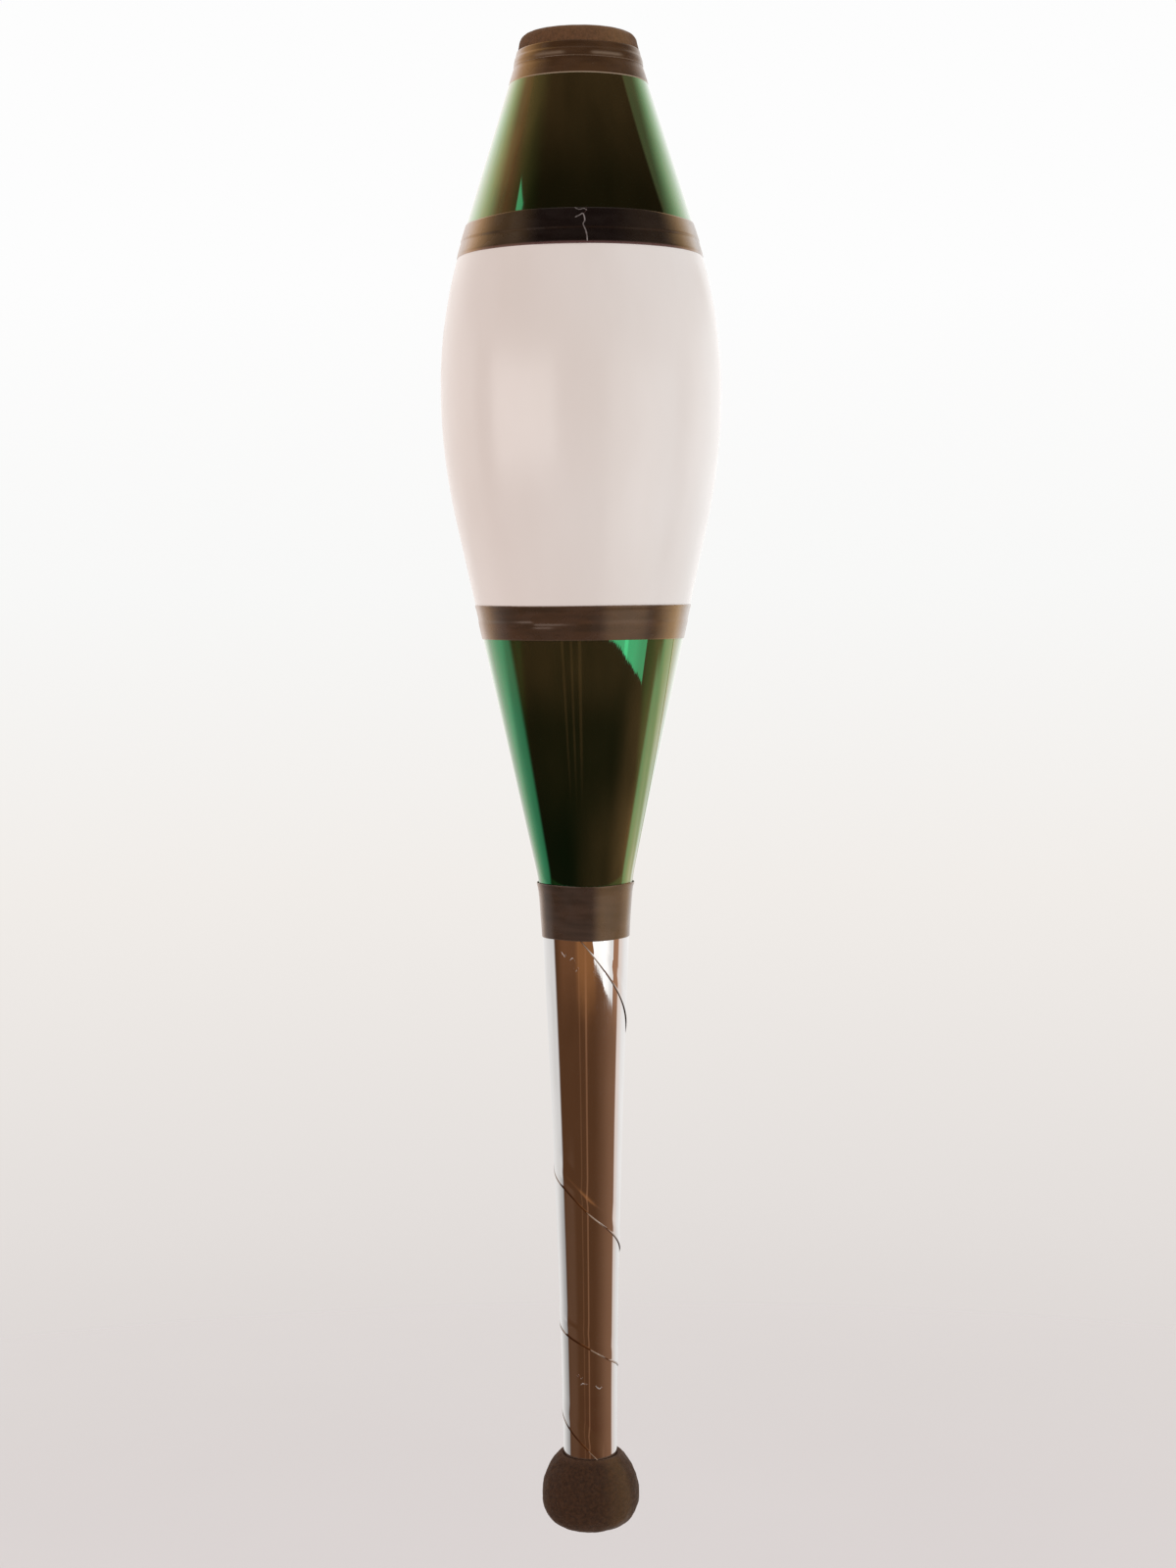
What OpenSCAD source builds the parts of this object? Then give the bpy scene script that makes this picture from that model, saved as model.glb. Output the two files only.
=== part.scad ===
// Juggling club of the European kind. A hollow moulded body and a padded, sleeved handle sit on
// one full-length wooden dowel. A foam knob and a foam cap close the two ends, each pulled up by
// a screw and a washer. Mirror foil dresses the body's two cones and the handle, and tape covers
// every joint and foil edge. +Z runs along the dowel towards the cap, and the origin is the
// middle of the grip. Heights in this file count from the knob's lowest rim.

/* [Knob] */
// Widest diameter of the foam knob
knob_d = 34.4; // [30:0.1:42]
// Height of the knob from its lowest rim to its mouth
knob_h = 27; // [23:0.5:34]
// Height of the knob's widest ring
knob_widest = 12.3; // [10:0.1:16]
// Fullness of the knob below that ring, 2 being half an ellipse
knob_full = 2.6; // [2:0.1:3]
// Diameter of the flat ring round the knob's mouth
knob_mouth_d = 22; // [20.5:0.1:26]
// Diameter of the recess under the knob that hides its screw
knob_recess_d = 10; // [9:0.1:12]
// Depth of that recess
knob_recess_h = 5; // [4:0.1:6]
// Foam left between the washer and the end of the dowel
knob_web = 5; // [3:0.1:7]
// How far the handle's end sits down inside the knob's mouth
knob_seat = 3; // [1:0.1:5]

/* [Handle] */
// Length of the handle from the knob's mouth to the neck joint
handle_len = 187; // [150:1:230]
// Outer diameter of the handle sleeve at the knob
grip_d = 18.6; // [17.6:0.1:23]
// How late the handle widens towards the neck, 1 being a straight cone
handle_bow = 1.5; // [1:0.05:2]
// Wall of the handle sleeve
sleeve_wall = 1.2; // [0.8:0.05:1.5]
// Thickness of the shoulder that the body's neck stands on
shoulder_h = 3; // [2:0.1:5]
// Length of the spigot that enters the body's neck
spigot_len = 25; // [16:1:34]
// Height of the ring that centres the sleeve on the dowel at the knob
end_ring_h = 8; // [4:0.5:12]
// Height of the bushing that centres the spigot on the dowel
bushing_h = 12; // [6:0.5:15]
// Height of the middle of the grip, where the hand closes
grip_middle = 118; // [90:1:150]

/* [Dowel] */
// Diameter of the wooden dowel
dowel_d = 12.7; // [11:0.1:14]
// Bevel on both ends of the dowel
dowel_bevel = 0.8; // [0.4:0.1:1.2]

/* [Body] */
// Length of the moulded body from the neck joint to its flat top
body_len = 293; // [240:1:360]
// Widest diameter of the body
body_d = 96.2; // [78:0.1:118]
// How far the widest ring lies below the body's top
widest_drop = 108; // [85:1:135]
// Diameter of the body's flat top
body_top_d = 44; // [38:0.1:53]
// Radius of the long arc above the widest ring
upper_arc_r = 167; // [130:1:200]
// Radius of the long arc below the widest ring
lower_arc_r = 207; // [160:1:250]
// Wall of the body, measured square to the axis
body_wall = 1.8; // [1.2:0.1:2.4]
// Thickness of the body's flat top
body_top_wall = 2; // [1.4:0.1:3]
// Outer diameter where the body's neck meets the handle
joint_d = 30; // [27:0.1:34]
// Diameter where the neck meets the lower cone
knee_d = 32.2; // [31:0.1:37]
// Length of the neck up to that meeting
neck_len = 16.6; // [12:0.1:22]
// Radius that rounds the meeting of neck and cone
knee_round = 60; // [20:1:90]

/* [Cap] */
// Height of the foam cap
cap_h = 12; // [10:0.5:16]
// Diameter of the cap's top before its edge is rounded
cap_top_d = 38.7; // [34:0.1:47]
// Radius of the cap's rounded edge
cap_round = 3.2; // [1:0.1:5]
// Diameter of the recess in the cap for its washer
cap_recess_d = 18; // [17:0.1:22]
// Depth of that recess
cap_recess_h = 5; // [4:0.1:6]
// Diameter of the disc that spreads the dowel's push under the body's top
top_disc_d = 26; // [20:0.5:36]
// Height of that disc
top_disc_h = 6; // [3:0.5:10]

/* [Foil and tape] */
// Thickness of the mirror foil
foil_t = 0.2; // [0.15:0.01:0.3]
// Thickness of a wound strip of tape
tape_t = 0.3; // [0.2:0.01:0.4]
// How far each foil runs on under a tape
foil_lap = 2; // [1:0.1:2.6]
// Width of the tape round the neck joint
neck_tape_w = 19; // [15:0.1:25]
// How far the neck tape reaches down over the handle
neck_tape_lap = 3; // [2:0.1:5]
// Height of the lower body tape above the neck joint
lower_band_rise = 100.5; // [80:0.5:120]
// Width of the lower body tape
lower_band_w = 11.5; // [8:0.1:19]
// How far the upper body tape's top edge lies below the body's top
upper_band_drop = 51; // [38:0.5:60]
// Width of the upper body tape
upper_band_w = 12; // [8:0.1:19]
// How far the cap's first tape reaches down over the body
cap_tape_lap = 4.8; // [3:0.1:6]
// Width of the cap's first tape
cap_tape_w = 8.5; // [7:0.1:10]
// Width of the cap's second tape
cap_strip_w = 5.3; // [4:0.1:6]
// How far the second tape laps over the first
cap_strip_lap = 2.7; // [1:0.1:4]

/* [Fasteners] */
// Diameter of the screw shanks
screw_d = 3.9; // [3.4:0.1:4.4]
// Length of the screws under the head
screw_len = 32; // [26:1:40]
// Length of the screws' points
screw_tip = 4; // [2:0.5:6]
// Diameter of the screw heads
head_d = 7.6; // [6.8:0.1:8.4]
// Height of the screw heads
head_h = 2.4; // [2:0.1:2.8]
// Width of the cross driven into each head
cross_w = 0.9; // [0.7:0.1:1.2]
// Span of that cross
cross_span = 4.4; // [3.6:0.1:5.2]
// Depth of that cross
cross_h = 1.5; // [1:0.1:1.8]
// Thickness of the knob's washer
knob_washer_t = 1; // [0.8:0.1:1.4]
// Thickness of the cap's washer
cap_washer_t = 1.2; // [0.8:0.1:1.6]
// Clearance round the shank in washers, foam and body
shank_gap = 0.25; // [0.15:0.05:0.4]
// Clearance round each washer in its recess
washer_gap = 0.3; // [0.2:0.05:0.6]
// Clearance between pieces that slide together
fit = 0.1; // [0.05:0.01:0.2]

/* [Hidden] */
$fn = 96;
over = 1; // how far a cut runs past what it cuts

// Heights of the joints
joint_z = knob_h + handle_len;
body_top = joint_z + body_len;
club_len = body_top + cap_h;
sleeve_z = knob_h - knob_seat;
spigot_top = joint_z + spigot_len;
knob_floor = knob_recess_h + knob_web;
dowel_top = body_top - body_top_wall;
cap_seat = club_len - cap_recess_h;
widest_z = body_top - widest_drop;

// Edges of the tapes and foils
neck_tape_z = joint_z - neck_tape_lap;
lower_foil_z = neck_tape_z + neck_tape_w - foil_lap;
lower_band_z = joint_z + lower_band_rise;
upper_band_z = body_top - upper_band_drop - upper_band_w;
upper_foil_z = upper_band_z + upper_band_w - foil_lap;
cap_tape_z = body_top - cap_tape_lap;
cap_tape_top = cap_tape_z + cap_tape_w;
cap_strip_z = cap_tape_top - cap_strip_lap;
one_layer = foil_t + tape_t;

// Radii that several pieces share
hole_r = screw_d / 2 + shank_gap;
dowel_hole_r = dowel_d / 2 + fit;
sleeve_bore_r = grip_d / 2 - sleeve_wall;
spigot_r = joint_d / 2 - body_wall - fit;
spigot_bore_r = spigot_r - sleeve_wall;

// Points of a round that takes the corner at b off the lines to a and c. The radius gives way
// where the lines are too short for it.
function toward(from, to) = (to - from) / norm(to - from);
function corner(a, b, c, r, steps = 8) =
    let (
        u = toward(b, a),
        v = toward(b, c),
        half = acos(u * v) / 2,
        cut = min(r / tan(half), 0.8 * norm(a - b), 0.8 * norm(c - b)),
        centre = b + toward([0, 0], u + v) * cut / cos(half),
        start = b + u * cut - centre,
        end = b + v * cut - centre,
        turn = (atan2(end[1], end[0]) - atan2(start[1], start[0]) + 540) % 360 - 180
    )
    [for (i = [0:steps])
        let (t = atan2(start[1], start[0]) + turn * i / steps)
        centre + norm(start) * [cos(t), sin(t)]];

// The moulded surface, as [height, radius] stations. A long arc on each side of the widest ring
// runs on as a cone that meets the arc without a crease: e is the cone's drop in radius over its
// length dz. No arc is larger than the one that needs no cone.
function arc_limit(r, e, dz) = min(r, 0.98 * (e * e + dz * dz) / (2 * e));
function arc_sweep(r, e, dz) = atan2(dz, r - e) - acos(r / norm([r - e, dz]));
function belly_arc(r, e, dz, side, steps = 20) =
    let (radius = arc_limit(r, e, dz), sweep = arc_sweep(radius, e, dz))
    [for (i = [0:steps])
        let (t = sweep * i / steps)
        [widest_z + side * radius * sin(t), body_d / 2 - radius * (1 - cos(t))]];
function backwards(points) = [for (i = [len(points) - 1:-1:0]) points[i]];

knee = [joint_z + neck_len, knee_d / 2];
lower_arc = backwards(
    belly_arc(lower_arc_r, (body_d - knee_d) / 2, widest_z - knee[0], -1));
upper_arc = belly_arc(upper_arc_r, (body_d - body_top_d) / 2, widest_drop, 1);

handle_steps = 20;
handle_line = [
    for (i = [0:handle_steps - 1])
        let (up = i / handle_steps)
        [knob_h + handle_len * up, (grip_d + (joint_d - grip_d) * pow(up, handle_bow)) / 2]
];
joint = [joint_z, joint_d / 2];
body_line = concat(corner(joint, knee, lower_arc[0], knee_round), lower_arc,
                   [for (i = [1:len(upper_arc) - 1]) upper_arc[i]]);
cap_foot = [body_top, body_top_d / 2];
cap_line = corner(cap_foot, [club_len, cap_top_d / 2], [club_len, 0], cap_round, 10);
outside = concat([[sleeve_z, grip_d / 2]], handle_line, [joint], body_line, [cap_foot], cap_line);

function radius_at(z) = lookup(z, outside);
function stations(a, b) =
    concat([a], [for (p = outside) if (p[0] > a + 0.01 && p[0] < b - 0.01) p[0]], [b]);

// Section of a layer that follows the outside from height a to height b, between two depths
// counted outwards from the moulded surface
module layer(a, b, low, high) {
    zs = stations(a, b);
    polygon(concat([for (z = zs) [radius_at(z) + high, z]],
                   backwards([for (z = zs) [radius_at(z) + low, z]])));
}

// Section of a ring between two radii, from height a to height b
module ring(a, b, r_in, r_out) {
    translate([r_in, a]) square([r_out - r_in, b - a]);
}

// The foils' sections, grown inwards by a depth to cut the tapes that lie on them
module handle_foil(depth = 0) {
    layer(sleeve_z, joint_z, -depth, foil_t);
}
module lower_foil(depth = 0) {
    layer(lower_foil_z, lower_band_z + foil_lap, -depth, foil_t);
}
module upper_foil(depth = 0) {
    layer(upper_foil_z, cap_tape_z + foil_lap, -depth, foil_t);
}

// Half of the knob's outline, from its widest ring to one end. It is a superellipse of the power
// full, as tall as makes it pass through a ring of diameter ring_d at the distance dz.
function knob_half(ring_d, dz, side, full = 2, steps = 14) =
    let (last = acos(pow(ring_d / knob_d, full / 2)))
    [for (i = [0:steps])
        let (t = last * i / steps)
        [knob_d / 2 * pow(cos(t), 2 / full),
         knob_widest + side * dz * pow(sin(t) / sin(last), 2 / full)]];

// A shank that points up from z = 0, and the hole it fills when grown
module shank(length, grow = 0) {
    cylinder(d = screw_d + 2 * grow, h = length - screw_tip);
    translate([0, 0, length - screw_tip])
        cylinder(d1 = screw_d + 2 * grow, d2 = 2 * grow + 0.4, h = screw_tip);
}

// A pan-head screw, its head below z = 0
module pan_screw() {
    color("silver") {
        shank(screw_len);
        difference() {
            rotate_extrude()
                polygon(concat([[0, 0], [head_d / 2, 0]],
                               corner([head_d / 2, 0], [head_d / 2, -head_h], [0, -head_h],
                                      head_h * 0.7),
                               [[0, -head_h]]));
            for (turn = [0, 90])
                rotate(turn) translate([-cross_span / 2, -cross_w / 2, -head_h - over])
                    cube([cross_span, cross_w, cross_h + over]);
        }
    }
}

// A flat washer that fits a recess, standing on z = 0
module washer(recess_d, thickness) {
    color("gainsboro") rotate_extrude()
        ring(0, thickness, hole_r, recess_d / 2 - washer_gap);
}

module knob_screw() {
    translate([0, 0, knob_recess_h - knob_washer_t]) pan_screw();
}

module knob_washer() {
    translate([0, 0, knob_recess_h - knob_washer_t]) washer(knob_recess_d, knob_washer_t);
}

module knob() {
    color([0.2, 0.14, 0.11]) rotate_extrude() difference() {
        polygon(concat([[0, 0]],
                       backwards(knob_half(knob_recess_d, knob_widest, -1, knob_full)),
                       knob_half(knob_mouth_d, knob_h - knob_widest, 1), [[0, knob_h]]));
        ring(-over, knob_recess_h, 0, knob_recess_d / 2);
        ring(0, knob_h, 0, hole_r);
        ring(knob_floor, knob_h, 0, dowel_hole_r);
        ring(sleeve_z, knob_h + over, 0, grip_d / 2 + foil_t + fit);
    }
}

// The ring that centres the sleeve on the dowel inside the knob's mouth
module handle_end_ring() {
    color("dimgray") rotate_extrude()
        ring(sleeve_z, sleeve_z + end_ring_h, dowel_hole_r, sleeve_bore_r - fit);
}

module dowel() {
    screw_in = screw_len + knob_recess_h - knob_washer_t - knob_floor;
    cap_screw_in = screw_len - (cap_seat + cap_washer_t - dowel_top);
    color("burlywood") difference() {
        rotate_extrude()
            polygon([[0, knob_floor], [dowel_d / 2 - dowel_bevel, knob_floor],
                     [dowel_d / 2, knob_floor + dowel_bevel],
                     [dowel_d / 2, dowel_top - dowel_bevel],
                     [dowel_d / 2 - dowel_bevel, dowel_top], [0, dowel_top]]);
        translate([0, 0, knob_floor + screw_in - screw_len]) shank(screw_len + fit, fit);
        translate([0, 0, dowel_top - cap_screw_in + screw_len]) mirror([0, 0, 1])
            shank(screw_len + fit, fit);
    }
}

// Foam tube on the dowel under the grip
module handle_foam() {
    color("whitesmoke") rotate_extrude()
        ring(sleeve_z + end_ring_h, spigot_top - bushing_h, dowel_hole_r, sleeve_bore_r - fit);
}

// Tapered sleeve with a shoulder for the body's neck and a spigot inside it
module handle_sleeve() {
    color("white") rotate_extrude() {
        layer(sleeve_z, joint_z, -sleeve_wall, 0);
        ring(joint_z - shoulder_h, joint_z, spigot_bore_r, joint_d / 2 - sleeve_wall / 2);
        ring(joint_z - shoulder_h, spigot_top, spigot_bore_r, spigot_r);
    }
}

module handle_film() {
    color("lightgray") rotate_extrude() handle_foil();
}

module neck_bushing() {
    color("dimgray") rotate_extrude()
        ring(spigot_top - bushing_h, spigot_top, dowel_hole_r, spigot_bore_r - fit);
}

// Hollow moulding with an open neck and a flat top that the cap's screw goes through
module body_shell() {
    color("snow") rotate_extrude() {
        layer(joint_z, body_top, -body_wall, 0);
        ring(dowel_top, body_top, hole_r, (body_top_d - body_wall) / 2);
    }
}

module lower_film() {
    color("seagreen") rotate_extrude() lower_foil();
}

module upper_film() {
    color("seagreen") rotate_extrude() upper_foil();
}

// A tape wound over the moulded surface and over any foil edge that runs under it
module tape(a, b) {
    color([0.13, 0.1, 0.09]) rotate_extrude() difference() {
        layer(a, b, 0, one_layer);
        handle_foil(over);
        lower_foil(over);
        upper_foil(over);
    }
}

module lower_band_tape() {
    tape(lower_band_z, lower_band_z + lower_band_w);
}

module upper_band_tape() {
    tape(upper_band_z, upper_band_z + upper_band_w);
}

module neck_tape() {
    tape(neck_tape_z, neck_tape_z + neck_tape_w);
}

module cap_tape_lower() {
    tape(cap_tape_z, cap_tape_top);
}

// The second tape laps over the first and steps down onto the cap
module cap_tape_upper() {
    color([0.13, 0.1, 0.09]) rotate_extrude() difference() {
        union() {
            layer(cap_strip_z, cap_tape_top + tape_t, 0, one_layer + tape_t);
            layer(cap_strip_z, cap_strip_z + cap_strip_w, 0, one_layer);
        }
        layer(cap_tape_z, cap_tape_top, -over, one_layer);
    }
}

// Disc that the dowel's end carries against the inside of the body's top
module top_disc() {
    color("dimgray") rotate_extrude()
        ring(dowel_top - top_disc_h, dowel_top, dowel_hole_r, top_disc_d / 2);
}

module top_cap() {
    color([0.2, 0.14, 0.11]) rotate_extrude() difference() {
        polygon(concat([[0, body_top], [body_top_d / 2, body_top]],
                       [for (p = cap_line) [p[1], p[0]]], [[0, club_len]]));
        ring(body_top - over, club_len, 0, hole_r);
        ring(cap_seat, club_len + over, 0, cap_recess_d / 2);
    }
}

module cap_washer() {
    translate([0, 0, cap_seat]) washer(cap_recess_d, cap_washer_t);
}

module cap_screw() {
    translate([0, 0, cap_seat + cap_washer_t]) mirror([0, 0, 1]) pan_screw();
}

// Moves the club so that the middle of the grip is the origin
module placed() {
    translate([0, 0, -grip_middle]) children();
}

placed() knob_screw();
placed() knob_washer();
placed() knob();
placed() handle_end_ring();
placed() dowel();
placed() handle_foam();
placed() handle_sleeve();
placed() handle_film();
placed() neck_bushing();
placed() body_shell();
placed() lower_film();
placed() upper_film();
placed() lower_band_tape();
placed() upper_band_tape();
placed() neck_tape();
placed() top_disc();
placed() top_cap();
placed() cap_tape_lower();
placed() cap_tape_upper();
placed() cap_washer();
placed() cap_screw();
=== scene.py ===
"""Looks of the juggling club: a moulded white body and a sleeved handle dressed in mirror foil and vinyl
tape, with a foam cap and a foam knob. Every piece is in metres, in the row frame: +Z runs from the knob to
the cap. Angles go round the club from its front, which faces -Y, towards +X."""

import math

import bmesh
import bpy
import numpy as np
from mathutils import Matrix, Vector


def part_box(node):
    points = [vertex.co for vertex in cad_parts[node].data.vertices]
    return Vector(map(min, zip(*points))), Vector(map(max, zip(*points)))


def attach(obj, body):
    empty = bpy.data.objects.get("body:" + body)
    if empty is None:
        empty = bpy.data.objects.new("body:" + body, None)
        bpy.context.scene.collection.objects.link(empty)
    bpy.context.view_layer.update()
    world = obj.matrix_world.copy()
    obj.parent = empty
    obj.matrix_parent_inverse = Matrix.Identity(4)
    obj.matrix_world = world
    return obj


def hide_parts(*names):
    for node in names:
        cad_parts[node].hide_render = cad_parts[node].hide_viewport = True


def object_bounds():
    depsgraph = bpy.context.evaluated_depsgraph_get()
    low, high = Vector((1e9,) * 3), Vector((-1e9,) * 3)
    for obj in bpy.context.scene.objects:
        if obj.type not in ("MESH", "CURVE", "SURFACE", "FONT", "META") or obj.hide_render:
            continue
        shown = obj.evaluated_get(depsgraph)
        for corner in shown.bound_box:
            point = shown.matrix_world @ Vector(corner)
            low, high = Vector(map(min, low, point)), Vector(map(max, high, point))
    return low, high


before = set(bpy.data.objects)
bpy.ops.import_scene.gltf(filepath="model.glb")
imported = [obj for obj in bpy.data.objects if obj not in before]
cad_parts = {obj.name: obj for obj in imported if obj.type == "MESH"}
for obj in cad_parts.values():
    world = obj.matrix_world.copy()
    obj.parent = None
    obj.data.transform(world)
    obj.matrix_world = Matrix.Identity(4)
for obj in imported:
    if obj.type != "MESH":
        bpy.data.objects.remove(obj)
cad_low, cad_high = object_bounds()

MM = 0.001
TURN = 2 * math.pi
DEGREES = 180 / math.pi
BODY = "root"
rad = np.radians
GRIP = 120  # the height of the row frame's origin, the middle of the grip, counted as for up()


def up(mm):
    """The row-frame height of a point whose height counts from 2 mm under the knob."""
    return (mm - GRIP) * MM


def around(count):
    """Evenly spaced angles, once round the club."""
    return np.arange(count) * TURN / count


def rise(value, low, high):
    """0 below low, 1 above high and a smooth step in between. high may be the lower of the two."""
    t = np.clip((value - low) / (high - low), 0, 1)
    return t * t * (3 - 2 * t)


def step(z, low, high):
    """The same over row-frame heights, with low and high counted as for up()."""
    return rise(z, up(low), up(high))


def bell(value, centre, width):
    return np.exp(-(((value - centre) / width) ** 2))


def chord(angle, line, radius):
    """How far a point of a turned surface lies from its lengthwise line at the angle given."""
    return np.sin((angle - line) / 2) * 2 * radius


def ripple(angle, z, seed, waves, across, along):
    """A smooth wandering value of about -1 to 1 over a turned surface, the same each run."""
    draw = np.random.default_rng(seed)
    total = 0
    for _ in range(waves):
        turns = draw.integers(1, max(2, round(across)) + 1)
        total = total + np.sin(turns * angle + draw.uniform(-1, 1) * along * z + draw.uniform(0, TURN))
    return total / math.sqrt(waves)


def curve(x, y):
    """A smooth function through the points given, level beyond the first and the last."""
    slope = np.gradient(y, x)

    def value(at):
        at = np.clip(at, x[0], x[-1])
        i = np.clip(np.searchsorted(x, at, side="right") - 1, 0, len(x) - 2)
        gap = x[i + 1] - x[i]
        t = (at - x[i]) / gap
        return (
            (1 + 2 * t) * (1 - t) ** 2 * y[i]
            + t * (1 - t) ** 2 * gap * slope[i]
            + t * t * (3 - 2 * t) * y[i + 1]
            + t * t * (t - 1) * gap * slope[i + 1]
        )

    return value


def placed(name, data):
    made = bpy.data.objects.new(name, data)
    bpy.context.scene.collection.objects.link(made)
    return made


# ---- reading the frame


def outside(node):
    """A turned CAD node's outer radius as a smooth function of height."""
    rings = {}
    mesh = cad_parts[node].data
    for face in mesh.polygons:
        c, n = face.center, face.normal
        if n.x * c.x + n.y * c.y > 0.02 * math.hypot(c.x, c.y):
            for index in face.vertices:
                v = mesh.vertices[index].co
                key = round(v.z, 5)
                rings[key] = max(rings.get(key, 0), math.hypot(v.x, v.y))
    z = np.array(sorted(rings))
    return curve(z, np.array([rings[h] for h in z]))


def span(node):
    """(radius, lowest height, highest height) of a turned CAD node."""
    low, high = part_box(node)
    return (high.x - low.x) / 2, low.z, high.z


body_at, sleeve_at, knob_at, cap_at = (outside(n) for n in ("body_shell", "handle_sleeve", "knob", "top_cap"))
collar_at = outside("neck_tape")

# ---- materials


def tone(red, green, blue):
    """A colour of a shader socket from its 0-255 screen values."""
    share = (np.array([red, green, blue]) / 255.0).tolist()
    return (*[c / 12.92 if c <= 0.04045 else ((c + 0.055) / 1.055) ** 2.4 for c in share], 1)


EVEN = (1, 1, 1)  # a noise pattern that isn't stretched


class Tree:
    """Short calls for the nodes of a material or of the world."""

    def __init__(self, owner):
        owner.use_nodes = True
        self.tree = owner.node_tree
        self.tree.nodes.clear()

    def node(self, kind, inputs=None, **settings):
        made = self.tree.nodes.new("ShaderNode" + kind)
        for key, value in settings.items():
            setattr(made, key, value)
        for key, value in (inputs or {}).items():
            self.put(made.inputs[key], value)
        return made

    def put(self, socket, value):
        if isinstance(value, bpy.types.NodeSocket):
            self.tree.links.new(value, socket)
        else:
            socket.default_value = value

    def math(self, operation, a, b=0.0):
        return self.node("Math", {0: a, 1: b}, operation=operation).outputs[0]

    def remap(self, value, low, high, to_low=0.0, to_high=1.0, smooth=True):
        kind = "SMOOTHSTEP" if smooth else "LINEAR"
        inputs = {"Value": value, "From Min": low, "From Max": high, "To Min": to_low, "To Max": to_high}
        return self.node("MapRange", inputs, interpolation_type=kind).outputs[0]

    def window(self, value, low, high, soft):
        """1 between low and high, fading to 0 over soft on either side."""
        opens, closes = self.remap(value, low - soft, low + soft), self.remap(value, high + soft, high - soft)
        return self.times(opens, closes)

    def mix(self, factor, a, b):
        made = self.node("Mix", data_type="RGBA")
        for i, value in ((0, factor), (6, a), (7, b)):
            self.put(made.inputs[i], value)
        return made.outputs[2]

    def place(self, stretch=EVEN):
        """The surface's own coordinates in metres, squeezed by stretch."""
        point = self.node("TexCoord").outputs["Object"]
        if stretch == EVEN:
            return point
        return self.node("Mapping", {"Vector": point, "Scale": stretch}).outputs[0]

    def noise(self, scale, detail, stretch=EVEN):
        inputs = {"Vector": self.place(stretch), "Scale": scale, "Detail": detail}
        return self.node("TexNoise", inputs).outputs[0]

    def grain(self, pattern, low=0.0, high=1.0):
        """Noise of the (scale, detail, stretch) given, its middle range spread over low to high."""
        return self.remap(self.noise(*pattern), 0.3, 0.7, low, high)

    def cells(self, scale):
        return self.node("TexVoronoi", {"Vector": self.place(), "Scale": scale}).outputs[0]

    def total(self, first, *rest):
        for value in rest:
            first = self.math("ADD", first, value)
        return first

    def times(self, first, *rest):
        for value in rest:
            first = self.math("MULTIPLY", first, value)
        return first

    def without(self, share):
        return self.math("SUBTRACT", 1, share)

    def blend(self, share, a, b):
        """The number a where share is 0 and b where it is 1."""
        return self.total(self.times(a, self.without(share)), self.times(b, share))

    def scaled(self, colour, factor):
        return self.node("VectorMath", {0: colour, "Scale": factor}, operation="SCALE").outputs[0]

    def degrees_round(self, way):
        """Degrees round the club, from its front towards +X, of the vector outputs given."""
        return self.times(self.math("ARCTAN2", way[0], self.times(way[1], -1)), DEGREES)

    def where(self):
        """The degrees round the club and the height, counted as for up(), of the point shaded."""
        point = self.node("SeparateXYZ", {0: self.node("TexCoord").outputs["Object"]}).outputs
        return self.degrees_round(point), self.total(self.times(point[2], 1 / MM), GRIP)


DUST = (1.0, 0.55, 0.30, 1)  # the warm bloom that handling leaves on tape and foam
FILM = (0.60, 0.33, 0.12, 1)  # a brown film: partly dirt that handling leaves, partly painted light
PALE = (0.82, 0.72, 0.66, 1)  # the paler colour of that film edge on: a painted rim reflection
PALE_FROM, PALE_TO = 59, 82  # the degrees from square on between which it turns pale
FILM_PATCHES = (40, 4, (3, 3, 0.4))  # the noise that makes the film uneven


def finish(name, dark, light, grain, rough, bumps, fixed, wear_and_highlight=None, haze=None):
    """A Principled material. Its colour runs from dark to light with the grain (scale, detail, stretch), its
    roughness over rough (low, high, scale). Each bump is (noise pattern or height maker, distance in metres).
    fixed is its other sockets; the next one is the colour of rubbed edges and of painted edge highlights.
    haze makes the share of a brown film over it all, partly dirt and partly painted light, paler edge on."""
    material = bpy.data.materials.new(name)
    t = Tree(material)
    colour = t.mix(t.grain(grain), tone(*dark), tone(*light))
    # the wear colour marks rubbed edges and, on the tapes, painted edge highlights
    if wear_and_highlight:
        rubs_and_highlights = t.node("Attribute", attribute_name="wear_and_highlight").outputs["Fac"]
        colour = t.mix(rubs_and_highlights, colour, tone(*wear_and_highlight))
    low, high, scale = rough
    inputs = {"Base Color": colour, "Roughness": t.grain((scale, 4.0), low, high), **fixed}
    for height, distance in bumps:
        found = height(t) if callable(height) else t.noise(*height)
        bump = {"Height": found, "Distance": distance, "Strength": 1.0}
        if "Normal" in inputs:
            bump["Normal"] = inputs["Normal"]
        inputs["Normal"] = t.node("Bump", bump).outputs[0]
    shader = t.node("BsdfPrincipled", inputs).outputs[0]
    # this film is partly dirt and partly painted light: light on the sides, and a pale painted rim edge on
    if haze:
        share = t.times(haze(t), t.grain(FILM_PATCHES, 0.85, 1.15))
        colour = t.mix(edge_on(t, PALE_FROM, PALE_TO), FILM, PALE)
        film_and_painted_light = t.node("BsdfDiffuse", {"Color": colour}).outputs[0]
        shader = t.node("MixShader", {0: share, 1: shader, 2: film_and_painted_light}).outputs[0]
    t.node("OutputMaterial", {"Surface": shader})
    return material


def edge_on(t, start, end):
    """0 where the surface is seen at less than start degrees from square on, 1 at more than end."""
    square = t.without(t.node("LayerWeight", {"Blend": 0.5}).outputs["Facing"])
    return t.remap(t.times(t.math("ARCCOSINE", square), DEGREES), start, end)


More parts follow.
